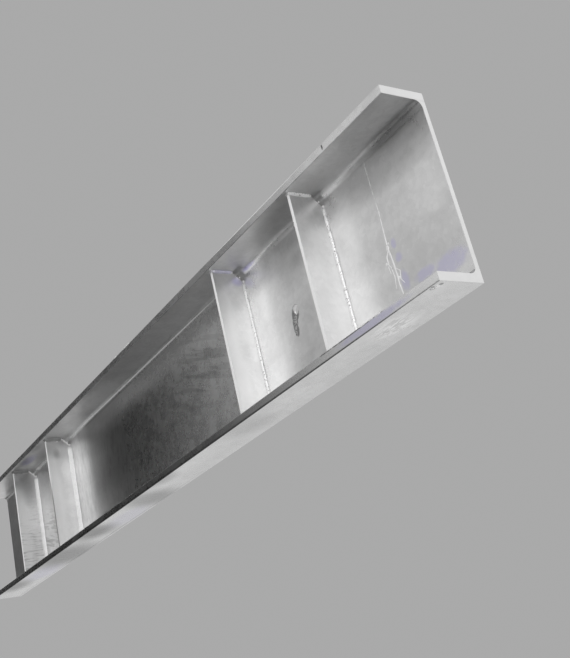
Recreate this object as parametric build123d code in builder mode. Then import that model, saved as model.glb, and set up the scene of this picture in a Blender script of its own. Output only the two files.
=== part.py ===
"""Galvanised steel channel beam with four welded web stiffeners, in millimetres.

The beam stands on its lower flange, +Z up, with its length along X and the open side of the
channel facing -Y. The origin is at the middle of the underside.
"""
import os
from math import atan, degrees

from build123d import *

# channel section
length = 2470.0
depth = 380.0
flange_width = 100.0
flange_thickness = 17.5
web_thickness = 9.5
root_radius = 15.0
arris_radius = 1.5

# stiffener plates, measured to their middle planes and the same from both ends
end_to_plate = 331.0
plate_pitch = 333.0
plate_thickness = 8.0
plate_width = 78.0
snipe = 25.0

# fillet welds all round each seam: the leg on the pair at +X and on the pair at -X
near_weld_leg = 6.0
far_weld_leg = 9.0
weld_toe = 0.4

# lifting holes in the web, one midway between the two plates of each pair
lifting_hole_diameter = 22.0

web_face_y = flange_width / 2 - web_thickness
clear_depth = depth - 2 * flange_thickness
outer_plate_x = length / 2 - end_to_plate
inner_plate_x = outer_plate_x - plate_pitch
lifting_hole_x = (outer_plate_x + inner_plate_x) / 2
web_seam = clear_depth - 2 * snipe
flange_seam = plate_width - snipe


def make_channel():
    """Rolled parallel flange channel: square toes, filleted roots, a hole in each paired bay."""
    with BuildPart() as channel:
        with BuildSketch(Plane.YZ) as section:
            Rectangle(flange_width, depth, align=(Align.CENTER, Align.MIN))
            with Locations((-flange_width / 2, flange_thickness)):
                Rectangle(
                    flange_width - web_thickness,
                    clear_depth,
                    align=(Align.MIN, Align.MIN),
                    mode=Mode.SUBTRACT,
                )
            toes, roots, heels = section.vertices().group_by(Axis.X)
            fillet(roots, root_radius)
            fillet(toes + heels, arris_radius)
        extrude(amount=length / 2, both=True)
        with BuildSketch(Plane((0, web_face_y, depth / 2), x_dir=(1, 0, 0), z_dir=(0, 1, 0))):
            with Locations((-lifting_hole_x, 0), (lifting_hole_x, 0)):
                Circle(lifting_hole_diameter / 2)
        extrude(amount=web_thickness, mode=Mode.SUBTRACT)
    return channel.part


def make_stiffener(x):
    """Flat plate between the flanges, with both web corners sniped clear of the root fillets."""
    with BuildPart() as stiffener:
        with BuildSketch(Plane.YZ.offset(x)) as outline:
            with Locations((web_face_y, depth / 2)):
                Rectangle(plate_width, clear_depth, align=(Align.MAX, Align.CENTER))
            chamfer(outline.vertices().group_by(Axis.X)[-1], snipe)
        extrude(amount=plate_thickness / 2, both=True)
    return stiffener.part


def make_weld(face, seam, leg, stiffener):
    """Fillet weld run right round one welded edge of a plate.

    The face plane lies on the steel that the plate stands on, centred on the seam, and its
    local Y runs along the seam.
    """
    with BuildPart() as weld:
        with BuildSketch(face):
            Rectangle(plate_thickness, seam)
            offset(amount=leg, kind=Kind.ARC)
        extrude(amount=leg, taper=degrees(atan((leg - weld_toe) / leg)))
        add(stiffener, mode=Mode.SUBTRACT)
    return weld.part


def seams(x):
    """The three seams of the plate at x: name, middle of the seam, way into the bay, length."""
    flange_seam_y = web_face_y - snipe - flange_seam / 2
    yield "web_weld", (x, web_face_y, depth / 2), (0, -1, 0), web_seam
    yield "top_weld", (x, flange_seam_y, depth - flange_thickness), (0, 0, -1), flange_seam
    yield "bottom_weld", (x, flange_seam_y, flange_thickness), (0, 0, 1), flange_seam


def write(part, name):
    """Label a finished piece and save it under its own name."""
    part.label = name
    export_step(part, f"parts/{name}.step")


os.makedirs("parts", exist_ok=True)
write(make_channel(), "channel")
plates = [
    (outer_plate_x, near_weld_leg),
    (inner_plate_x, near_weld_leg),
    (-inner_plate_x, far_weld_leg),
    (-outer_plate_x, far_weld_leg),
]
for number, (x, leg) in enumerate(plates, start=1):
    stiffener = make_stiffener(x)
    write(stiffener, f"stiffener_{number}")
    for seam_name, middle, into_bay, seam in seams(x):
        face = Plane(middle, x_dir=(1, 0, 0), z_dir=into_bay)
        write(make_weld(face, seam, leg, stiffener), f"{seam_name}_{number}")
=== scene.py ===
"""Looks of a galvanised channel beam: zinc finishes with painted light and shade, weld beads, runs and
lumps, studio and camera.

Everything is in metres in the part's own frame: +X along the beam towards the near end, the open side of
the channel towards -Y, +Z up. Patches, some of them painted light and shade, and runs and lumps of zinc
are placed in mm.
"""
import math

import bmesh
import bpy
from mathutils import Matrix, Vector, noise


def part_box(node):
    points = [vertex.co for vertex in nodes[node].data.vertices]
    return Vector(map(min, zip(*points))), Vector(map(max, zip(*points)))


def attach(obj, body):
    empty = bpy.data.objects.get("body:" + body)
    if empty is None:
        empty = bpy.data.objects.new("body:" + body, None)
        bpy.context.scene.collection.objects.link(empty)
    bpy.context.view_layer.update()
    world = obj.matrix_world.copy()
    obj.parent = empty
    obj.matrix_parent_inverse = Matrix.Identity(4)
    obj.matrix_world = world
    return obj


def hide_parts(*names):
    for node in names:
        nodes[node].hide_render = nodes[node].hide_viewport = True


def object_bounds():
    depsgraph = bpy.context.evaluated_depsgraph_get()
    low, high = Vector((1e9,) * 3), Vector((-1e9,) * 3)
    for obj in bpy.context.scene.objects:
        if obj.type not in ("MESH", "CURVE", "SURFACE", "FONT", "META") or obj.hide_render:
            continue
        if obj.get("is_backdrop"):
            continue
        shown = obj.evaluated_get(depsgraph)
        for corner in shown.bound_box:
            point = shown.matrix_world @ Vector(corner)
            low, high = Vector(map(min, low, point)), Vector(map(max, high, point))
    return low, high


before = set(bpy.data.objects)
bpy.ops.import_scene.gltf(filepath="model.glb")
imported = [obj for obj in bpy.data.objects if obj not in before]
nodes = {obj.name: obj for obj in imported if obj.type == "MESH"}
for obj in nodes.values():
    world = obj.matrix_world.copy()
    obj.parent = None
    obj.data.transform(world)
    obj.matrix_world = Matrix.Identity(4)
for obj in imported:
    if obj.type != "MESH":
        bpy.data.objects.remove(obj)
cad_low, cad_high = (Vector(corner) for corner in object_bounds())

MM = 0.001
NEAR_PAIR = (1, 2)
FAR_PAIR = (3, 4)
PLATES = NEAR_PAIR + FAR_PAIR
ROOT_RADIUS = 15 * MM
ROOT_STEPS = 14
ARRIS_RADIUS = 1.5 * MM
ARRIS_STEPS = 5
END_RADIUS = 0.8 * MM
PLATE_EDGE_RADIUS = 0.7 * MM
HOLE_RADIUS = 11 * MM
HOLE_STEPS = 64
RIM_RADIUS = 0.8 * MM
DRILL_LENGTH = 40 * MM
NICK_X = 1052 * MM
NICK_HALF_WIDTH = 2.2 * MM
NICK_HEIGHT = 11 * MM
NICK_DEPTH = Vector((0, 2.6, -2.0)) * MM
VIOLET = (0.60, 0.585, 0.74, 1.0)

# how close counts: points that are one, points on a hole's rim or a cut, faces square to an axis
SAME_POINT = 0.002 * MM
SAME_CAD_POINT = 0.001 * MM
ON_RIM = 0.02 * MM
ON_CUT = 0.01 * MM
SQUARE_ON = 0.99

# where the walls of the channel and its lifting holes are, read from the frame
plate_low, plate_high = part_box("stiffener_1")
web_y = plate_high.y
plate_thickness = plate_high.x - plate_low.x
hole_z = (cad_low.z + cad_high.z) / 2
hole_x = (plate_high.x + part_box("stiffener_2")[0].x) / 2
HOLES = (hole_x, -hole_x)

# the web's face, the top and the tips of the flanges in mm, for the zinc that lies on them
web_mm = web_y / MM
top_mm = cad_high.z / MM
tip_mm = cad_low.y / MM


# node trees
class Wire:
    """An output of a node that takes part in sums as a number does."""

    def __init__(self, shader, socket):
        self.shader, self.socket = shader, socket

    def math(self, operation, *others):
        """Math node on this output and other values."""
        return self.shader.node("ShaderNodeMath", {"operation": operation}, [self, *others])

    def __add__(self, other):
        return self.math("ADD", other)

    def __sub__(self, other):
        return self.math("SUBTRACT", other)

    def __mul__(self, other):
        return self.math("MULTIPLY", other)

    __radd__ = __add__
    __rmul__ = __mul__

    def __rsub__(self, other):
        return self.shader.node("ShaderNodeMath", {"operation": "SUBTRACT"}, [other, self])

    def __abs__(self):
        return self.math("ABSOLUTE")

    def clamped(self):
        """The same, kept between zero and one."""
        return self.math("MAXIMUM", 0.0).math("MINIMUM", 1.0)

    def ramp(self, low, high, start=0.0, end=1.0):
        """Smooth step from start at low to end at high, which are in metres on a coordinate."""
        settings = {"interpolation_type": "SMOOTHSTEP", "clamp": True}
        sockets = {"Value": self, "From Min": low, "From Max": high, "To Min": start, "To Max": end}
        return self.shader.node("ShaderNodeMapRange", settings, sockets)


class Shader:
    """Node tree of one material or of the world."""

    def __init__(self, owner):
        owner.use_nodes = True
        self.tree = owner.node_tree
        self.tree.nodes.clear()

    def node(self, kind, settings=None, sockets=None, out=0):
        """Add a node: its settings first, then the values or links of its sockets."""
        made = self.tree.nodes.new(kind)
        for name, value in (settings or {}).items():
            setattr(made, name, value)
        pairs = enumerate(sockets) if isinstance(sockets, list) else (sockets or {}).items()
        for name, value in pairs:
            if isinstance(value, Wire):
                self.tree.links.new(value.socket, made.inputs[name])
            else:
                made.inputs[name].default_value = value
        return Wire(self, made.outputs[out] if made.outputs else None)

    def vector_math(self, operation, *values, out=0):
        """Vector Math node on vectors or colours."""
        return self.node("ShaderNodeVectorMath", {"operation": operation}, list(values), out)

    def place(self):
        """Object coordinates in metres."""
        return self.node("ShaderNodeTexCoord", out="Object")

    def split(self, vector):
        """The three numbers of a vector."""
        first = self.node("ShaderNodeSeparateXYZ", sockets=[vector])
        return [Wire(self, output) for output in first.socket.node.outputs]

    def mix(self, factor, first, second):
        """Colour between two colours. The node's inputs 6 and 7 and its output 2 are colours."""
        return self.node("ShaderNodeMix", {"data_type": "RGBA"}, {0: factor, 6: first, 7: second}, 2)


def grey(level):
    """Neutral colour at a level."""
    return (level, level, level, 1.0)


class Zinc:
    """Hot-dip zinc on steel: cloudy patches, faint spangle, drawn-out streaks and soft waves."""

    def __init__(self, name, dimmer, bright, roughness, streak):
        """Levels of its dull and bright parts, its roughness and how the streaks are stretched."""
        self.material = bpy.data.materials.new(name)
        self.shader = shader = Shader(self.material)
        self.place = shader.place()
        self.x, self.y, self.z = shader.split(self.place)
        clouds = self.noise(11.0, detail=5.0, distortion=0.8)
        patches = self.noise(34.0, detail=4.0)
        streaks = self.noise(9.0, streak, detail=6.0)
        cells = {"Vector": self.place, "Scale": 110.0}
        spangle = shader.split(shader.node("ShaderNodeTexVoronoi", sockets=cells, out="Color"))[0]
        grain = self.noise(420.0, detail=2.0)
        tone = clouds * 0.26 + streaks * 0.42 + patches * 0.18 + spangle * 0.07 + grain * 0.07
        self.colour = shader.mix(tone.ramp(0.3, 0.7), grey(dimmer), grey(bright))
        self.gloss = roughness + (clouds - 0.5) * 0.08 + (patches - 0.5) * 0.08 + spangle * 0.03
        self.metal = 1.0
        waves = self.noise(17.0, (0.5, 1.0, 1.0), detail=2.0)
        self.height = waves * 0.5 + streaks * 0.3 + patches * 0.08 + grain * 0.008

    def noise(self, scale, stretch=None, lean=0.0, detail=3.0, distortion=0.0):
        """Soft noise in cells per metre, leaned about Y by an angle in degrees, then stretched."""
        vector = self.place
        if lean:
            turn = {"Vector": vector, "Rotation": (0, math.radians(lean), 0)}
            vector = self.shader.node("ShaderNodeMapping", sockets=turn)
        if stretch:
            vector = self.shader.node("ShaderNodeMapping", sockets={"Vector": vector, "Scale": stretch})
        sockets = {
            "Vector": vector,
            "Scale": scale,
            "Detail": detail,
            "Roughness": 0.55,
            "Distortion": distortion,
        }
        return self.shader.node("ShaderNodeTexNoise", sockets=sockets)

    def spot(self, middle, size, soft=0.5):
        """Soft patch: one at the middle, zero outside an ellipsoid of the given half sizes in mm."""
        scale = [1 / (half * MM) for half in size]
        shifted = self.shader.vector_math("SUBTRACT", self.place, Vector(middle) * MM)
        scaled = self.shader.vector_math("MULTIPLY", shifted, scale)
        away = self.shader.vector_math("LENGTH", scaled, out="Value")
        return away.ramp(1 - soft, 1.0, 1.0, 0.0)

    def tint(self, factor, colour):
        """Lay a colour over the zinc where the factor says so."""
        self.colour = self.shader.mix(factor, self.colour, colour)

    def shade(self, factor, level):
        """Bring the zinc to a share of its own colour, mostly a darker one, where the factor says so."""
        sockets = {"Vector": self.colour, "Scale": 1 - factor * (1 - level)}
        self.colour = self.shader.node("ShaderNodeVectorMath", {"operation": "SCALE"}, sockets)

    def paint_patches(self, patches, soft=0.8):
        """Paint soft patches of light and shade on the zinc, darker or lighter: middles and half sizes
        in mm, and levels.
        """
        for middle, size, level in patches:
            self.shade(self.spot(middle, size, soft), level)

    def done(self, wave=0.15):
        """The finished material, with no colour above white and waves of a given strength."""
        bump = {"Strength": wave, "Distance": 2 * MM, "Height": self.height}
        sockets = {
            "Base Color": self.shader.vector_math("MINIMUM", self.colour, (1.0, 1.0, 1.0)),
            "Metallic": self.metal,
            "Roughness": self.gloss.clamped(),
            "Normal": self.shader.node("ShaderNodeBump", sockets=bump),
        }
        surface = self.shader.node("ShaderNodeBsdfPrincipled", sockets=sockets)
        self.shader.node("ShaderNodeOutputMaterial", sockets={"Surface": surface})
        return self.material


# finish of the channel, with its painted light and shade
def paint_web_shade(zinc):
    """Painted shade on the web: darker in the middle bay, where it stands for a dark reflection, and
    slightly darker in the far bays. Gives the far part of the web.
    """
    on_web = abs(zinc.y - web_y).ramp(1 * MM, 3 * MM, 1.0, 0.0)
    middle_bay = on_web * zinc.x.ramp(-0.47, -0.4) * zinc.x.ramp(0.4, -0.18)
    less_at_foot = zinc.z.ramp(0.06, 0.16, 0.6, 1.0)
    less_at_top = zinc.z.ramp(0.32, 0.2, 0.75, 1.0)
    zinc.shade(middle_bay * less_at_foot * less_at_top, 0.48)
    far = on_web * zinc.x.ramp(-0.05, -0.45)
    zinc.shade(far, 0.9)
    return far


def paint_toe_shade(zinc):
    """Painted shade on the toes, but for the near end, and more on the lower one in the middle bay's
    near half.
    """
    toe = zinc.y.ramp(cad_low.y + 0.4 * MM, cad_low.y + 1.2 * MM, 1.0, 0.0)
    zinc.shade(toe * zinc.x.ramp(0.62, 1.15, 1.0, 0.0), 0.5)
    near_half = zinc.spot((280, -50, 9), (380, 30, 30))
    zinc.shade(toe * zinc.z.ramp(0.03, 0.02) * near_half, 0.78)


def violet_bloom(zinc, ragged):
    """Violet bloom with ragged rims: middles and half sizes in mm, and strengths."""
    low_on_near_web = (
        ((1187, 40, 64), (66, 8, 32), 0.8),
        ((1124, 40, 76), (44, 8, 18), 0.8),
        ((1070, 40, 166), (11, 8, 16), 0.8),
        ((1073, 40, 136), (15, 8, 15), 0.8),
        ((1072, 40, 88), (18, 8, 32), 0.8),
    )
    toe_and_upper_flange = (
        ((1055, -50, 9), (165, 9, 12), 0.8),
        ((615, 35, 358), (42, 8, 8), 0.9),
        ((-780, -22, 362), (90, 30, 8), 0.9),
    )
    underside = (
        ((-830, 0, 0), (200, 70, 6), 0.5),
        ((-170, 10, 0), (190, 60, 6), 0.35),
    )
    for middle, size, strength in low_on_near_web + toe_and_upper_flange + underside:
        bloom = (zinc.spot(middle, size, soft=0.95) * (1 + ragged * 2)).ramp(0.05, 0.8)
        zinc.tint(bloom * strength, VIOLET)


def drawn_streaks(zinc):
    """Fine streaks on the web: lean in degrees, stretch and scale of the noise, place and level."""
    for lean, stretch, scale, middle, size, level in (
        (-22.0, 0.07, 80.0, (290, 40, 225), (250, 8, 135), 0.76),
        (-15.0, 0.12, 130.0, (-830, 40, 110), (110, 8, 130), 0.7),
        (80.0, 0.25, 70.0, (-130, 40, 190), (330, 8, 190), 0.78),
    ):
        lines = zinc.noise(scale, (stretch, 1.0, 1.0), lean, detail=4.0)
        zinc.shade(lines.ramp(0.5, 0.6) * zinc.spot(middle, size, soft=0.7), level)


def upright_streaks(zinc):
    """Faint upright streaks on the web beside the third plate."""
    upright = zinc.noise(85.0, (1.0, 1.0, 0.25), detail=4.0)
    beside_plate = zinc.spot((-500, 40, 190), (110, 8, 200), soft=0.4)
    zinc.shade(upright.ramp(0.46, 0.62) * beside_plate, 0.88)


def paint_light_and_shade(zinc):
    """Painted light and shade on the channel: soft darker and lighter bands and clouds for reflections,
    and for shade in the roots, each group from the far end to the near one.
    """
    upper_flange = (
        ((-745, 0, 362), (155, 70, 14), 0.74),
        ((-845, -8, 362), (70, 32, 12), 1.35),
        ((-655, -45, 362), (75, 28, 12), 0.6),
        ((-410, -30, 362), (120, 60, 12), 0.86),
        ((-180, 0, 362), (190, 60, 12), 1.35),
        ((-10, 36, 358), (700, 14, 14), 0.66),
        ((835, 0, 362), (390, 60, 12), 0.7),
    )
    upper_root_of_near_bays = (
        ((1160, 34, 354), (150, 20, 24), 0.6),
        ((1150, 39, 353), (190, 5, 9), 0.5),
        ((1165, 33, 359), (105, 8, 7), 0.7),
        ((878, 34, 355), (38, 16, 18), 0.5),
    )
    web = (
        ((-790, 40, 190), (110, 10, 170), 0.9),
        ((-525, 40, 300), (55, 10, 90), 1.25),
        ((620, 40, 335), (60, 10, 38), 1.4),
        ((668, 40, 215), (38, 10, 115), 0.88),
        ((755, 40, 305), (70, 12, 90), 0.8),
        ((800, 40, 284), (60, 10, 32), 0.8),
        ((955, 40, 235), (85, 12, 130), 0.87),
        ((985, 40, 160), (40, 10, 90), 0.93),
        ((1120, 40, 286), (190, 10, 30), 0.82),
        ((1190, 40, 215), (70, 10, 65), 1.14),
        ((1190, 40, 332), (90, 10, 32), 0.84),
    )
    underside = (
        ((-1020, -40, 0), (140, 75, 10), 0.4),
        ((-605, -8, 0), (240, 150, 10), 0.36),
        ((-320, -28, 0), (135, 85, 10), 0.34),
        ((10, 0, 0), (125, 110, 10), 0.5),
        ((180, -52, 0), (100, 50, 10), 0.65),
        ((560, -25, 0), (130, 80, 10), 0.78),
    )
    zinc.paint_patches(upper_flange + upper_root_of_near_bays + web + underside)


def stains_and_painted_shade(zinc, ragged):
    """Ragged dark marks along the lower toe's upper arris, painted shade round the drips, and at the
    near hole dark ash staining that is partly painted shade of the hole. Gives the hole's own one.
    """
    on_toe = zinc.spot((985, -50, 16.6), (150, 4, 3.2), soft=0.6)
    zinc.shade((on_toe * (1 + ragged * 4)).ramp(0.4, 0.7), 0.35)
    # painted shade round the drips' sides
    for x, y, half in ((1206, -41, 6), (1224, -37, 5), (1212, -45, 4)):
        zinc.shade(zinc.spot((x, y, 0), (half, half, 3)), 0.45)
    # ash at the near hole, partly painted shade of the hole
    below_hole = zinc.spot((727, 40, 160), (13, 10, 34), soft=0.6)
    round_hole = zinc.spot((735, 40, 184), (17, 10, 22), soft=0.6)
    stain_and_shade = (below_hole + round_hole).clamped()
    zinc.shade((stain_and_shade * (1 + ragged * 3)).ramp(0.2, 0.7), 0.4)
    return stain_and_shade


def paint_edge_lines(zinc):
    """Painted shade along the lower arris and in the nick, and three painted highlight lines along the
    channel. Gives the highlight lines.
    """
    # painted shade: a dark line on the lower arris and in the nick
    lower_arris = zinc.spot((0, -50, 1), (1400, 2.2, 3.2), soft=0.3)
    nick = zinc.spot((NICK_X / MM, -49.5, 375), (2.4, 4, 10), soft=0.4)
    zinc.tint(lower_arris * 0.85 + nick * 0.9, grey(0.1))
    # painted highlights: bright lines on the upper arris, the back arris and the upper root
    upper_arris = zinc.spot((790, -50, 380), (256, 2.0, 2.6), soft=0.3)
    back_arris = zinc.spot((600, 50, 0), (900, 1.6, 1.6), soft=0.3)
    root_line = zinc.spot((-10, 36.1, 358.1), (620, 2.4, 2.4), soft=0.4)
    shining = (upper_arris + back_arris + root_line * 0.7).clamped()
    zinc.tint(shining, grey(0.96))
    return shining


def pale_scuffs(zinc):
    """Scuffs under the near end."""
    scuffed = zinc.noise(90.0, (0.3, 1.0, 1.0), distortion=1.5)
    under_end = zinc.spot((1062, -8, 0), (75, 46, 5), soft=0.7)
    zinc.tint(scuffed.ramp(0.48, 0.56) * under_end * 0.9, grey(0.97))


def satin_parts(zinc):
    """How much rougher the web of the near bays and the inside of the upper flange are."""
    pair_bay = zinc.spot((735, 40, 170), (170, 8, 230))
    end_bay = zinc.spot((1060, 40, 190), (240, 8, 240))
    under_flange = abs(zinc.z - plate_high.z).ramp(1 * MM, 3 * MM, 1.0, 0.0)
    return pair_bay * 0.07 + end_bay * 0.05 + under_flange * 0.08


def channel_finish():
    """Rolled steel under zinc: painted shade on the web and toes, fine streaks, violet bloom, stains,
    painted light and shade in patches and lines, and whiter cut ends.
    """
    zinc = Zinc("channel_zinc", 0.62, 0.84, 0.26, (0.12, 1.0, 1.0))
    ragged = zinc.noise(90.0, detail=5.0) - 0.5
    far = paint_web_shade(zinc)
    paint_toe_shade(zinc)
    violet_bloom(zinc, ragged)
    drawn_streaks(zinc)
    paint_light_and_shade(zinc)
    upright_streaks(zinc)
    stain_and_shade = stains_and_painted_shade(zinc, ragged)
    shining = paint_edge_lines(zinc)
    pale_scuffs(zinc)
    cut = abs(zinc.x).ramp(cad_high.x - 0.9 * MM, cad_high.x - 0.4 * MM)
    zinc.tint(cut, grey(0.8))
    zinc.gloss = zinc.gloss + (cut + stain_and_shade + shining) * 0.25 + far * 0.08 + satin_parts(zinc)
    brighter_matt = zinc.spot((840, 40, 330), (290, 8, 45)) + zinc.spot((-530, 40, 300), (80, 8, 80))
    zinc.metal = (1 - shining * 0.6 - brighter_matt * 0.36).clamped()
    return zinc.done()


# finishes of the plates, the beads and the thick zinc, with painted light and shade on the plates and
# beads
def paint_plate_light_and_shade(zinc):
    """Painted light and shade on the near faces of the four plates: soft lighter and darker patches."""
    near_pair = (
        ((575, 0, 50), (20, 70, 120), 1.24),
        ((575, -6, 190), (20, 75, 180), 1.16),
        ((908, 0, 110), (20, 75, 170), 1.1),
        ((575, 32, 165), (20, 24, 140), 1.12),
        ((575, -25, 300), (20, 34, 60), 1.16),
        ((908, 32, 190), (20, 24, 150), 1.12),
        ((908, -10, 285), (20, 60, 45), 1.14),
    )
    far_pair = (
        ((-567, 0, 130), (20, 80, 260), 1.12),
        ((-567, -28, 255), (20, 20, 60), 1.16),
        ((-567, 22, 262), (20, 34, 55), 1.24),
        ((-567, -8, 312), (20, 16, 24), 0.66),
        ((-567, 25, 358), (20, 40, 36), 0.6),
        ((-900, 5, 325), (30, 60, 120), 0.6),
        ((-900, -10, 170), (20, 60, 170), 1.3),
    )
    zinc.paint_patches(near_pair + far_pair, soft=0.9)


def plate_finish():
    """Sawn plate under zinc: whiter, rougher edges, dark dashes low on the furthest plate, and painted
    light and shade on the faces.
    """
    zinc = Zinc("plate_zinc", 0.68, 0.88, 0.32, (1.0, 1.0, 0.35))
    # painted light: a whiter strip towards the free edge of the second to fourth plates, below their
    # tops
    brighter_matt = zinc.y.ramp(0.005, -0.02) * zinc.z.ramp(0.325, 0.285)
    zinc.tint(brighter_matt * zinc.x.ramp(0.7, 0.5, 0.0, 0.8), grey(0.97))
    dashes = zinc.noise(190.0, (1.0, 0.1, 1.0))
    furthest = zinc.x.ramp(-0.85, -0.87)
    zinc.shade(dashes.ramp(0.5, 0.6) * furthest * zinc.z.ramp(0.27, 0.14), 0.74)
    paint_plate_light_and_shade(zinc)
    edge = zinc.y.ramp(plate_low.y + 0.5 * MM, plate_low.y + 0.9 * MM, 1.0, 0.0)
    zinc.tint(edge, grey(0.95))
    upper_corner = zinc.spot((575, 24, 338), (20, 20, 16), soft=0.8)
    zinc.tint(upper_corner, VIOLET)
    # painted shade on the lower part of the third plate's free edge
    dark_edge = zinc.spot((-571, -37, 80), (20, 12, 190), soft=0.6)
    zinc.shade(edge * dark_edge, 0.3)
    # painted light: the third plate's far face, whiter and less metallic, throws more light onto the
    # fourth plate
    far_face = abs(zinc.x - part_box("stiffener_3")[0].x).ramp(0.3 * MM, 0.8 * MM, 1.0, 0.0)
    zinc.tint(far_face * 0.8, grey(0.95))
    zinc.gloss = zinc.gloss + (edge + far_face) * 0.3
    metal = 1 - edge * 0.7 - far_face * 0.9
    zinc.metal = (metal - brighter_matt * zinc.x.ramp(0.4, -0.5, 0.0, 0.3)).clamped()
    return zinc.done(wave=0.2)


def weld_finish():
    """Zinc on a weld bead: white crests, and dark specks that are denser on the near pair.

    The top seams carry painted shade on the far pair, and are violet on the second plate.
    """
    zinc = Zinc("weld_zinc", 0.84, 0.97, 0.32, (1.0, 1.0, 1.0))
    specks = zinc.noise(330.0, detail=2.0)
    zinc.tint(specks.ramp(0.58, 0.66) * zinc.x.ramp(-0.2, 0.4, 0.15, 0.75), grey(0.2))
    top_seam = zinc.z.ramp(plate_high.z - 12 * MM, plate_high.z - 6 * MM)
    # painted shade on the far pair's top seams, tucked under the upper flange
    zinc.shade(top_seam * zinc.x.ramp(-0.2, -0.4), 0.45)
    second_plate = zinc.spot((575, 0, 360), (30, 50, 20))
    zinc.tint(top_seam * second_plate * 0.8, VIOLET)
    return zinc.done(wave=0.2)


def run_finish():
    """Thick zinc of the runs, drips and lumps, patchy and darker towards the long run's top."""
    zinc = Zinc("run_zinc", 0.86, 0.97, 0.42, (1.0, 1.0, 1.0))
    broken = zinc.noise(110.0, detail=2.0).ramp(0.5, 0.6)
    long_run = zinc.spot((1054, 40, 285), (12, 8, 115), soft=0.3)
    dimmer = (broken * 0.25 + zinc.z.ramp(0.2, 0.37)).clamped()
    zinc.shade(dimmer * long_run, 0.6)
    zinc.metal = 0.6
    return zinc.done(wave=0.2)


def ash_finish():
    """Dark ash and flux caught in the zinc below the near hole."""
    zinc = Zinc("ash_zinc", 0.3, 0.62, 0.55, (1.0, 1.0, 1.0))
    crust = zinc.noise(260.0, detail=4.0)
    zinc.tint(crust.ramp(0.48, 0.6) * 0.8, grey(0.1))
    zinc.height = zinc.height + crust * 0.3
    return zinc.done(wave=0.5)


# pieces and their meshes
def finish(obj, material):
    """Give a piece one finish all over."""
    obj.data.materials.clear()
    obj.data.materials.append(material)


def object_of(name, bm):
    """Object at the origin from a bmesh."""
    mesh = bpy.data.meshes.new(name)
    bm.to_mesh(mesh)
    bm.free()
    obj = bpy.data.objects.new(name, mesh)
    bpy.context.scene.collection.objects.link(obj)
    return obj


def piece(name, bm, material, slot, *replaced, sharp=40):
    """Finished piece of the beam, smooth but for the edges sharper than an angle in degrees."""
    bmesh.ops.remove_doubles(bm, verts=bm.verts, dist=SAME_POINT)
    bmesh.ops.recalc_face_normals(bm, faces=bm.faces)
    obj = object_of(name, bm)
    obj.data.polygons.foreach_set("use_smooth", [True] * len(obj.data.polygons))
    obj.data.set_sharp_from_angle(angle=math.radians(sharp))
    finish(obj, material)
    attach(obj, "root")
    if replaced:
        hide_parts(*replaced)
    return obj


def flat_faces_first(obj):
    """Keep large flat faces flat where they run smoothly into a rounded edge."""
    weighted = obj.modifiers.new("weighted", "WEIGHTED_NORMAL")
    weighted.weight = 100
    weighted.keep_sharp = True


def merged_copy(name):
    """Closed bmesh of a CAD node, with its flat faces whole again."""
    bm = bmesh.new()
    bm.from_mesh(nodes[name].data)
    bmesh.ops.remove_doubles(bm, verts=bm.verts, dist=SAME_CAD_POINT)
    bmesh.ops.dissolve_limit(bm, angle_limit=math.radians(0.5), verts=bm.verts, edges=bm.edges)
    return bm


def soften(bm, parts, size, steps=2, affect="EDGES"):
    """Round some edges over, or some corners of a flat outline."""
    bmesh.ops.bevel(
        bm, geom=parts, offset=size, segments=steps, profile=0.5, affect=affect, material=-1
    )


def ease_end(bm, face, size):
    """Round the rim of a cut end over, in two steps of a quarter turn."""
    side, rise = 0.0, 0.0
    for turn in (math.pi / 4, math.pi / 2):
        next_side = size * (1 - math.cos(turn))
        next_rise = size * math.sin(turn)
        bmesh.ops.inset_region(
            bm,
            faces=[face],
            thickness=next_side - side,
            depth=next_rise - rise,
            use_even_offset=True,
            use_boundary=True,
        )
        side, rise = next_side, next_rise


def rolled_channel():
    """The rolled channel, from its section: square toes, filleted roots, eased cut ends."""
    bm = bmesh.new()
    toe, back, bottom, top = cad_low.y, cad_high.y, cad_low.z, cad_high.z
    outline = [(toe, bottom), (back, bottom), (back, top), (toe, top)]
    outline += [(toe, plate_high.z), (web_y, plate_high.z), (web_y, plate_low.z), (toe, plate_low.z)]
    corners = [bm.verts.new((cad_low.x + END_RADIUS, y, z)) for y, z in outline]
    bm.faces.new(corners)
    roots, arrises = corners[5:7], corners[:5] + corners[7:]
    soften(bm, roots, ROOT_RADIUS, ROOT_STEPS, "VERTICES")
    soften(bm, arrises, ARRIS_RADIUS, ARRIS_STEPS, "VERTICES")
    drawn = bmesh.ops.extrude_face_region(bm, geom=bm.faces[:], use_keep_orig=True)
    moved = [item for item in drawn["geom"] if isinstance(item, bmesh.types.BMVert)]
    bmesh.ops.translate(bm, verts=moved, vec=(cad_high.x - cad_low.x - 2 * END_RADIUS, 0, 0))
    bmesh.ops.recalc_face_normals(bm, faces=bm.faces)
    for end in [face for face in bm.faces if abs(face.normal.x) > SQUARE_ON]:
        ease_end(bm, end, END_RADIUS)
    return bm


def drilled(bm):
    """The same channel with its two lifting holes."""
    tool = bmesh.new()
    for x in HOLES:
        place = Matrix.Translation((x, web_y, hole_z)) @ Matrix.Rotation(math.pi / 2, 4, "X")
        bmesh.ops.create_cone(
            tool,
            cap_ends=True,
            segments=HOLE_STEPS,
            radius1=HOLE_RADIUS,
            radius2=HOLE_RADIUS,
            depth=DRILL_LENGTH,
            matrix=place,
        )
    drill, blank = object_of("drill", tool), object_of("blank", bm)
    cut = blank.modifiers.new("holes", "BOOLEAN")
    cut.operation, cut.solver, cut.object = "DIFFERENCE", "EXACT", drill
    shaped = blank.evaluated_get(bpy.context.evaluated_depsgraph_get())
    bm = bmesh.new()
    bm.from_mesh(shaped.to_mesh())
    for used in (blank, drill):
        bpy.data.objects.remove(used)
    return bm


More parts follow.
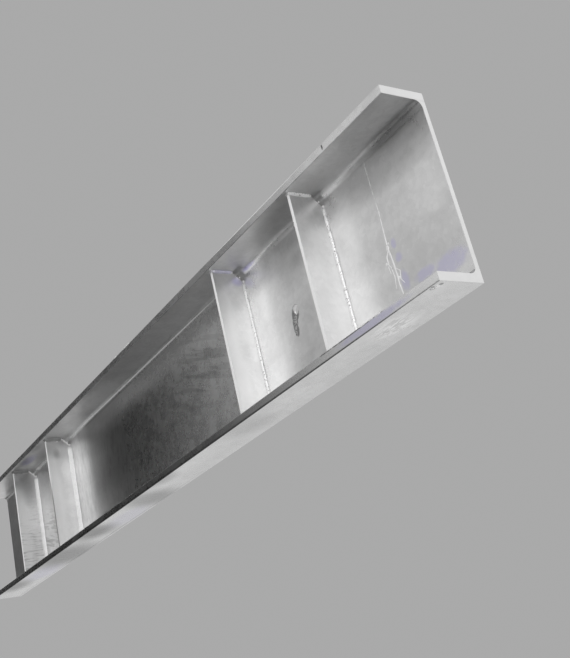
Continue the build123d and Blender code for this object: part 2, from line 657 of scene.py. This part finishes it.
def at_rim(edge):
    """True for an edge of a hole's rim, on a face of the web."""
    for vert in edge.verts:
        off = min(math.hypot(vert.co.x - x, vert.co.z - hole_z) for x in HOLES) - HOLE_RADIUS
        on_face = min(abs(vert.co.y - web_y), abs(vert.co.y - cad_high.y))
        if abs(off) > ON_RIM or on_face > ON_RIM:
            return False
    first, last = (vert.co.y for vert in edge.verts)
    return abs(first - last) < ON_RIM


def nick_upper_toe(bm):
    """The nick in the upper arris: a groove down the toe that runs out at its foot."""
    foot = cad_high.z - NICK_HEIGHT
    for x in (NICK_X - NICK_HALF_WIDTH, NICK_X, NICK_X + NICK_HALF_WIDTH):
        geometry = bm.verts[:] + bm.edges[:] + bm.faces[:]
        bmesh.ops.bisect_plane(bm, geom=geometry, plane_co=(x, 0, 0), plane_no=(1, 0, 0))
    parts = []
    for face in bm.faces:
        middle = face.calc_center_median()
        on_toe = face.normal.y < -SQUARE_ON and middle.z > plate_high.z
        if on_toe and abs(middle.x - NICK_X) < NICK_HALF_WIDTH:
            parts += [face, *face.verts, *face.edges]
    geometry = list(dict.fromkeys(parts))
    bmesh.ops.bisect_plane(bm, geom=geometry, plane_co=(0, 0, foot), plane_no=(0, 0, 1))
    reach = ARRIS_RADIUS + 0.5 * MM
    for vert in bm.verts:
        on_arris = vert.co.y < cad_low.y + reach and vert.co.z > cad_high.z - reach
        if abs(vert.co.x - NICK_X) < ON_CUT and on_arris:
            vert.co += NICK_DEPTH


def dress_channel(material):
    """The channel with softened hole rims and the nick in its upper edge."""
    bm = drilled(rolled_channel())
    soften(bm, [edge for edge in bm.edges if at_rim(edge)], RIM_RADIUS)
    nick_upper_toe(bm)
    flat_faces_first(piece("dressed_channel", bm, material, "channel", "channel", sharp=35))


def dress_plate(number, material):
    """A stiffener with softened edges."""
    name = f"stiffener_{number}"
    bm = merged_copy(name)
    soften(bm, bm.edges[:], PLATE_EDGE_RADIUS)
    flat_faces_first(piece(f"dressed_{name}", bm, material, "stiffener", name, sharp=60))


def wrapped_grid(steps, around, place):
    """Grid whose points place(i, j) gives, i along the way and j round the section."""
    bm = bmesh.new()
    bmesh.ops.create_grid(bm, x_segments=steps, y_segments=around, size=1.0)
    for vert in bm.verts:
        i = round((vert.co.x + 1) / 2 * steps)
        j = round((vert.co.y + 1) / 2 * around)
        vert.co = place(i, j % around)
    return bm


def weld_bead(seam_axis, middle, into_bay, seam, leg, flatness, seed):
    """Rippled fillet weld right round a plate's edge, with thinner returns at its ends.

    Its section is a quarter circle at a flatness of 1 and a straight bevel at 2.
    """
    turn_radius = 1 * MM
    corner_way = 8 * MM
    ripple_pitch = 2.6 * MM
    ripple_bow = 1.6 * MM
    stride = 0.75 * MM
    thins_from, thins_over = 5 * MM, 6 * MM
    around = 7
    # shares of the leg, and how often a metre of the seam swells or changes its grain
    thinning, swell, crests, grain = 0.45, 0.16, 0.1, 0.09
    swells_a_metre, grains_a_metre = 90, 400
    half_seam, half_plate = seam / 2 - turn_radius, plate_thickness / 2 - turn_radius
    total = 4 * (half_seam + half_plate + corner_way)
    steps = round(total / stride)
    sides = (
        (half_seam, half_plate, Vector((0, 1))),
        (half_plate, half_seam, Vector((-1, 0))),
        (half_seam, half_plate, Vector((0, -1))),
        (half_plate, half_seam, Vector((1, 0))),
    )

    def foot_at(distance):
        """Point of the plate's outline at a distance round it, and the way out of the plate."""
        for half, away, along in sides:
            out = Vector((along.y, -along.x))
            end = along * half + out * away
            if distance <= 2 * half:
                return end + along * (distance - 2 * half) + out * turn_radius, out
            distance -= 2 * half
            if distance <= corner_way:
                turn = distance / corner_way * math.pi / 2
                way = out * math.cos(turn) + along * math.sin(turn)
                return end + way * turn_radius, way
            distance -= corner_way
        return end + along * turn_radius, along

    def place(i, j):
        """Point of the bead. The last row of the section is the hidden corner of the seam."""
        distance = (i % steps) * total / steps
        foot, out = foot_at(distance)
        at_end = max(0.0, abs(foot.y) - half_seam + thins_from) / thins_over
        size = leg * (1 - thinning * at_end)
        size *= 1 + swell * noise.noise(Vector((distance * swells_a_metre, seed, 0.5)))
        reach = height = 0.0
        if j < around - 1:
            share = j / (around - 2)
            turn = share * math.pi / 2
            ripple = (distance + ripple_bow * math.sin(math.pi * share)) / ripple_pitch + seed
            crest = abs(math.sin(math.pi * ripple))
            uneven = noise.noise(Vector((distance * grains_a_metre, share * 3, seed)))
            size *= 1 + math.sin(math.pi * share) * (crests * crest + grain * uneven)
            reach, height = size * math.sin(turn) ** flatness, size * math.cos(turn) ** flatness
        flat = foot + out * reach
        return middle + Vector((flat.x, 0, 0)) + seam_axis * flat.y + into_bay * height

    return wrapped_grid(steps, around, place)


def dress_welds(material):
    """Rippled beads in place of the plain welds, slimmer on the near pair and fuller on the far."""
    for number in PLATES:
        slim, flatness = (0.82, 1.5) if number in NEAR_PAIR else (1.08, 2.0)
        for node, seam_axis, into_bay in (
            ("web_weld", Vector((0, 0, 1)), Vector((0, -1, 0))),
            ("top_weld", Vector((0, 1, 0)), Vector((0, 0, -1))),
            ("bottom_weld", Vector((0, 1, 0)), Vector((0, 0, 1))),
        ):
            name = f"{node}_{number}"
            low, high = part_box(name)
            leg = (high.x - low.x - plate_thickness) / 2
            seam = (high - low).dot(seam_axis) - 2 * leg
            middle = (low + high) / 2 - into_bay * (leg / 2)
            seed = number * 3.1 + len(node)
            bead = weld_bead(seam_axis, middle, into_bay, seam, leg * slim, flatness, seed)
            piece(f"{name}_bead", bead, material, "weld", name, sharp=60)


# zinc that froze thick, in mm
def raised_run(points, across, out, spreads, height, seed):
    """Thick run of zinc down a face: points, half widths at its two ends and height."""
    wander, wander_length = 0.8, 22
    unevenness, uneven_length = 0.45, 8
    buried_share, taper_parts = 0.35, 14
    stride, around = 1.2, 8
    stops = [Vector(point) for point in points]
    lengths = [(b - a).length for a, b in zip(stops, stops[1:])]
    total = sum(lengths)
    steps = max(12, round(total / stride))

    def place(i, j):
        """Point of the run, which tapers over its first and last fourteenths."""
        share = i / steps
        left = share * total
        for start, stop, length in zip(stops, stops[1:], lengths):
            if left <= length:
                break
            left -= length
        along = (stop - start) / length
        at = start + along * min(left, length)
        at += across * wander * noise.noise(Vector((share * total / wander_length, seed, 0)))
        spread = spreads[0] + (spreads[1] - spreads[0]) * share
        spread *= 1 + unevenness * noise.noise(Vector((share * total / uneven_length, seed, 3)))
        taper = min(1.0, taper_parts * share, taper_parts * (1 - share)) ** 0.5
        turn = 2 * math.pi * j / around
        rise = height * max(math.sin(turn), buried_share * math.sin(turn))
        return (at + (along.cross(out) * math.cos(turn) * spread + out * rise) * taper) * MM

    return wrapped_grid(steps, around, place)


def down_web(line, spreads, height, seed):
    """Run of zinc down the web's inner face, from its x and z at each bend."""
    points = [(x, web_mm, z) for x, z in line]
    return raised_run(points, Vector((1, 0, 0)), Vector((0, -1, 0)), spreads, height, seed)


def lump(middle, size, seed):
    """Frozen lump of zinc, uneven all over: middle and half sizes."""
    unevenness, bumpiness = 0.3, 1.7
    bm = bmesh.new()
    bmesh.ops.create_icosphere(bm, subdivisions=4, radius=1.0)
    for vert in bm.verts:
        uneven = 1 + unevenness * noise.noise(vert.co * bumpiness + Vector((seed, 0, 0)))
        vert.co = Vector([m + h * c * uneven for m, h, c in zip(middle, size, vert.co)]) * MM
    return bm


def join(*parts):
    """One bmesh from several."""
    whole = bmesh.new()
    for part in parts:
        mesh = bpy.data.meshes.new("joined")
        part.to_mesh(mesh)
        part.free()
        whole.from_mesh(mesh)
        bpy.data.meshes.remove(mesh)
    return whole


def web_run(material):
    """The thin run with its branches, between the near end and the first plate."""
    parts = [
        down_web([(1055, 366), (1054, 300), (1056, 240), (1053, 190), (1052, 162)], (0.6, 1.6), 1.1, 1),
        down_web([(1052, 170), (1055, 136), (1057, 107), (1056, 90), (1058, 66)], (1.8, 1.3), 1.4, 2),
        down_web([(1051, 160), (1043, 150), (1043, 134), (1050, 124)], (1.8, 1.2), 1.2, 3),
        down_web([(1047, 126), (1049, 106), (1045, 84)], (1.1, 0.6), 0.7, 4),
        down_web([(1056, 122), (1066, 112), (1063, 96), (1070, 84)], (1.2, 0.6), 0.8, 5),
        down_web([(1040, 134), (1042, 116)], (0.9, 0.5), 0.6, 6),
        lump((1052, web_mm, 164), (3.4, 1.8, 7.0), 7),
        lump((1057, web_mm, 172), (2.0, 1.2, 2.6), 8),
        lump((1038, web_mm, 139), (2.2, 1.2, 3.4), 9),
        lump((1060, web_mm, 100), (2.4, 1.2, 3.6), 10),
    ]
    piece("web_run", join(*parts), material, "channel")


def hole_run(material):
    """Ash and its run below the near hole."""
    parts = [
        down_web([(734, 180), (729, 168), (725, 150), (722, 136)], (5.0, 3.0), 1.6, 11),
        lump((727, web_mm, 171), (7.5, 2.2, 3.2), 12),
        lump((730, web_mm, 160), (5.5, 2.0, 2.8), 13),
        lump((724, web_mm, 149), (5.0, 2.4, 6.5), 14),
    ]
    piece("hole_run", join(*parts), material, "channel")


def seam_end_beads(material):
    """Lumps where the seams end at each plate's upper corner, and zinc along the far snipes."""
    seam_ends = (
        (web_mm - 1, 339, 2.6),
        (web_mm - 9, 349, 1.6),
        (14, top_mm - 19, 2.0),
        (web_mm - 1, 331, 1.7),
    )
    parts = []
    for number in PLATES:
        face = (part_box(f"stiffener_{number}")[1] / MM).x
        big = 1.6 if number in FAR_PAIR else 1.0
        for y, z, size in seam_ends:
            half_sizes = (1.1 * size * big, size * big, 1.2 * size * big)
            parts.append(lump((face + 1.2, y, z), half_sizes, number * 7 + z))
        if number in FAR_PAIR:
            snipe = [(face, 15, top_mm - 19), (face, 27, top_mm - 30), (face, 40, top_mm - 43)]
            across, out = Vector((0, 1, 0)), Vector((1, 0, 0))
            parts.append(raised_run(snipe, across, out, (2.4, 1.8), 2.6, number))
    third_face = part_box("stiffener_3")[1].x / MM
    parts.append(lump((third_face, -1, 354), (2.6, 4.0, 3.4), 5))
    piece("seam_end_beads", join(*parts), material, "weld")


def edge_lumps(material):
    """Lumps on the upper toe of the middle bay and on the lower toe near the end."""
    parts = [
        lump((116, tip_mm + 1.5, top_mm - 0.6), (27, 2.4, 2.2), 9),
        lump((131, tip_mm + 1.5, top_mm - 0.2), (8, 2.2, 2.6), 10),
        lump((44, tip_mm + 1.5, top_mm - 0.6), (9, 2.2, 2.4), 11),
        lump((1030, tip_mm + 1.2, 16.6), (13, 1.8, 1.7), 15),
        lump((1052, tip_mm + 1.2, 16.8), (8, 1.9, 1.9), 16),
        lump((1074, tip_mm + 1.2, 16.6), (12, 1.7, 1.6), 17),
    ]
    piece("edge_lumps", join(*parts), material, "channel")


def underside_drips(material):
    """Three flat drips under the near end."""
    parts = [
        lump((1216, -38, 0.2), (4.2, 4.8, 1.5), 12),
        lump((1207, -42, 0.2), (2.6, 3.0, 1.2), 13),
        lump((1222, -44, 0.2), (2.0, 2.4, 1.0), 14),
    ]
    piece("underside_drips", join(*parts), material, "channel")


# studio
def glowing(name, low_x, high_x, far_level, near_level):
    """Even grey glow that may change along the beam from one level to another."""
    material = bpy.data.materials.new(name)
    shader = Shader(material)
    share = shader.split(shader.place())[0].ramp(low_x, high_x)
    colour = shader.mix(share, grey(far_level), grey(near_level))
    glow = shader.node("ShaderNodeEmission", sockets={"Color": colour, "Strength": 1.0})
    shader.node("ShaderNodeOutputMaterial", sockets={"Surface": glow})
    return material


def studio_floor():
    """Pale floor under the beam. It shows from above only, so the beam is seen from below too."""
    material = bpy.data.materials.new("pale_floor")
    shader = Shader(material)
    seen = shader.node("ShaderNodeLightPath", out="Is Camera Ray")
    behind = shader.node("ShaderNodeNewGeometry", out="Backfacing")
    away = shader.vector_math("LENGTH", shader.place(), out="Value")
    clear = shader.node("ShaderNodeBsdfTransparent")
    matt = shader.node("ShaderNodeBsdfDiffuse", sockets={"Color": grey(0.74)})
    shown = seen * (1 - behind) * away.ramp(1.8, 6.0, 1.0, 0.0)
    mixed = shader.node("ShaderNodeMixShader", sockets=[shown, clear, matt])
    shader.node("ShaderNodeOutputMaterial", sockets={"Surface": mixed})
    bm = bmesh.new()
    bmesh.ops.create_grid(bm, x_segments=1, y_segments=1, size=30.0)
    bmesh.ops.translate(bm, verts=bm.verts, vec=(0, 0, cad_low.z - 0.5 * MM))
    floor = object_of("floor", bm)
    finish(floor, material)
    floor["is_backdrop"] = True


def studio_world():
    """Grey surroundings, which the camera sees a little darker than the zinc does."""
    world = bpy.data.worlds.new("studio")
    bpy.context.scene.world = world
    shader = Shader(world)
    seen = shader.node("ShaderNodeLightPath", out="Is Camera Ray")
    glow = shader.node("ShaderNodeBackground", sockets={"Color": grey(0.68)})
    backdrop = shader.node("ShaderNodeBackground", sockets={"Color": grey(0.4)})
    mixed = shader.node("ShaderNodeMixShader", sockets=[seen, glow, backdrop])
    shader.node("ShaderNodeOutputWorld", sockets={"Surface": mixed})


def lamp(name, place, target, width, height, radiance):
    """Soft box that shines from one place to another. Radiance 1 looks white in a mirror."""
    light = bpy.data.lights.new(name, "AREA")
    light.shape = "RECTANGLE"
    light.size, light.size_y = width, height
    light.energy = radiance * math.pi * width * height
    obj = bpy.data.objects.new(name, light)
    obj.location = place
    obj.rotation_euler = (Vector(target) - Vector(place)).to_track_quat("-Z", "Y").to_euler()
    obj.visible_camera = False
    bpy.context.scene.collection.objects.link(obj)


def dark_card(name, corner, opposite, glow):
    """Card beside the beam that only mirror-like surfaces show: corners, and the ramp of its glow."""
    low, high = Vector(corner), Vector(opposite)
    middle, size = (low + high) / 2, high - low
    bm = bmesh.new()
    turn = Matrix.Rotation(math.radians(90 if size.y == 0 else 0), 4, "X")
    bmesh.ops.create_grid(bm, x_segments=1, y_segments=1, size=0.5, matrix=turn)
    bmesh.ops.scale(bm, verts=bm.verts, vec=[side or 1 for side in size])
    bmesh.ops.translate(bm, verts=bm.verts, vec=middle)
    card = object_of(name, bm)
    finish(card, glowing(name, *glow))
    card.visible_camera = card.visible_diffuse = card.visible_shadow = False
    card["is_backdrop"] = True


def photo_camera():
    """Camera below and beyond the near end, fitted to the beam's edges in the photograph."""
    data = bpy.data.cameras.new("camera")
    data.lens = 52.065
    camera = bpy.data.objects.new("camera", data)
    camera.location = (2.20332, -1.09491, -0.55163)
    camera.rotation_euler = [math.radians(angle) for angle in (111.387, 12.725, 58.109)]
    bpy.context.scene.collection.objects.link(camera)
    bpy.context.scene.camera = camera


# the beam
dress_channel(channel_finish())
plate_zinc = plate_finish()
for number in PLATES:
    dress_plate(number, plate_zinc)
dress_welds(weld_finish())
run_zinc = run_finish()
ash_zinc = ash_finish()
web_run(run_zinc)
hole_run(ash_zinc)
seam_end_beads(run_zinc)
edge_lumps(run_zinc)
underside_drips(run_zinc)

# its surroundings
studio_floor()
studio_world()
lamp("key_box", (3.6, -2.1, 1.7), (0.6, 0, 0.2), 2.6, 2.4, 0.92)
lamp("end_box", (3.6, 2.6, 1.9), (1.2, 0, 0.2), 2.4, 1.6, 0.75)
lamp("low_box", (3.6, -2.1, -0.8), (0.6, 0, 0.2), 2.6, 2.4, 0.24)
lamp("side_box", (0.4, -2.7, 0.85), (-0.6, 0, 0.2), 1.8, 1.3, 0.4)
dark_card("dark_card", (-14.0, -2.0, 0.5), (-2.25, -2.0, 2.8), (-4.3, -2.5, 0.01, 0.14))
dark_card("low_card", (-14.0, -2.01, -9.0), (-0.42, -2.01, 0.8), (-4.3, -3.0, 0.3, 0.21))
dark_card("ground_card", (-14.0, -2.0, -2.2), (0.6, 0.3, -2.2), (-3.0, -1.5, 0.12, 0.2))
photo_camera()

bpy.context.scene.view_settings.view_transform = "Standard"
